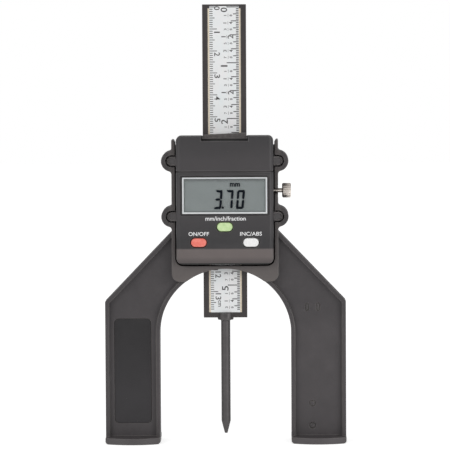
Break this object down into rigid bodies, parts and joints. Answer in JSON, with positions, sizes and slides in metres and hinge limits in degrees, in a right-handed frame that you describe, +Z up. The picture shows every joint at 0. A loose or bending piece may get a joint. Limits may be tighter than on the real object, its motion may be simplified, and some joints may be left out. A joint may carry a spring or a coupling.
{
  "type": "digital depth gauge",
  "caption": "Standing digital depth gauge: a black arched bridge, a sliding bar with a pointed probe, and a display head with a side lock screw.",
  "frame": {"origin": "on the base plane, midway between the feet, in the middle plane of the bar", "axes": "+Z up along the bar, -Y out of the display's face, +X to the right seen from the front"},
  "size_m": [0.11, 0.03, 0.2001],
  "materials": {
    "bridge_plastic": "fine textured moulding",
    "head_plastic": "fine textured moulding",
    "panel_plastic": "smooth",
    "frame_plastic": "smooth",
    "bar_steel": "satin black",
    "probe_steel": "blackened, satin",
    "plain_steel": "bright",
    "nickel": "nickel plated, knurled",
    "brass": "turned",
    "lcd_white": "smooth white",
    "lcd_glass": "grey liquid crystal",
    "window": "clear",
    "strip_rubber": "soft",
    "circuit": "solder mask",
    "board_cream": "bare board edge",
    "label_white": "silvery printed film",
    "red_plastic": "smooth",
    "green_plastic": "smooth",
    "white_plastic": "smooth",
    "felt": "felt"
  },
  "bodies": {
    "body": {"bridge_frame": "bridge_plastic", "leg_label": "panel_plastic", "head_rear_frame": "frame_plastic", "head_cover": "head_plastic", "lcd_bezel": "lcd_white", "lcd_window": "window", "lcd_panel": "lcd_glass", "lcd_holder": "lcd_white", "zebra_strips": "strip_rubber", "display_board": "circuit", "switch_domes": "plain_steel", "board_connector": "frame_plastic", "reader_board": "circuit", "reader_chip": "frame_plastic", "battery": "plain_steel", "battery_minus_contact": "plain_steel", "battery_plus_contact": "plain_steel", "top_wiper": "felt", "bottom_wiper": "felt", "case_screws": "plain_steel", "board_screws": "plain_steel", "head_screws": "plain_steel", "lock_nut": "brass"},
    "sliding_bar": {"beam": "bar_steel", "scale_board": "board_cream", "scale_label": "label_white", "stop_screw": "plain_steel", "probe_rod": "probe_steel", "probe_pin": "plain_steel"},
    "clamp_pad": {"lock_pad": "brass"},
    "clamp_screw": {"lock_screw": "nickel"},
    "on_off_key": {"on_off_button": "red_plastic"},
    "units_key": {"units_button": "green_plastic"},
    "zero_key": {"zero_button": "white_plastic"},
    "battery_door": {"battery_cover": "head_plastic"}
  },
  "joints": [
    {"name": "bar_slide", "type": "slide", "parent": "body", "child": "sliding_bar", "axis": [0, 0, 1], "range_m": [-0.06, 0.02]},
    {"name": "lock_pad_slide", "type": "slide", "parent": "body", "child": "clamp_pad", "axis": [1, 0, 0], "range_m": [0, 0.0008]},
    {"name": "lock_screw_turn", "type": "hinge", "parent": "clamp_pad", "child": "clamp_screw", "pos_m": [0.0262, 0.0008, 0.1151], "axis": [1, 0, 0], "range_deg": [0, 720]},
    {"name": "on_off_press", "type": "slide", "parent": "body", "child": "on_off_key", "axis": [0, 1, 0], "range_m": [0, 0.0005], "stiffness_N_per_m": 2500, "springref_m": -0.0002},
    {"name": "units_press", "type": "slide", "parent": "body", "child": "units_key", "axis": [0, 1, 0], "range_m": [0, 0.0005], "stiffness_N_per_m": 2500, "springref_m": -0.0002},
    {"name": "zero_press", "type": "slide", "parent": "body", "child": "zero_key", "axis": [0, 1, 0], "range_m": [0, 0.0005], "stiffness_N_per_m": 2500, "springref_m": -0.0002},
    {"name": "battery_cover_slide", "type": "slide", "parent": "body", "child": "battery_door", "axis": [0, 0, 1], "range_m": [0, 0.018]}
  ],
  "couplings": [
    {"joint": "lock_screw_turn", "follows": "lock_pad_slide", "rad_per_m": 15708}
  ]
}
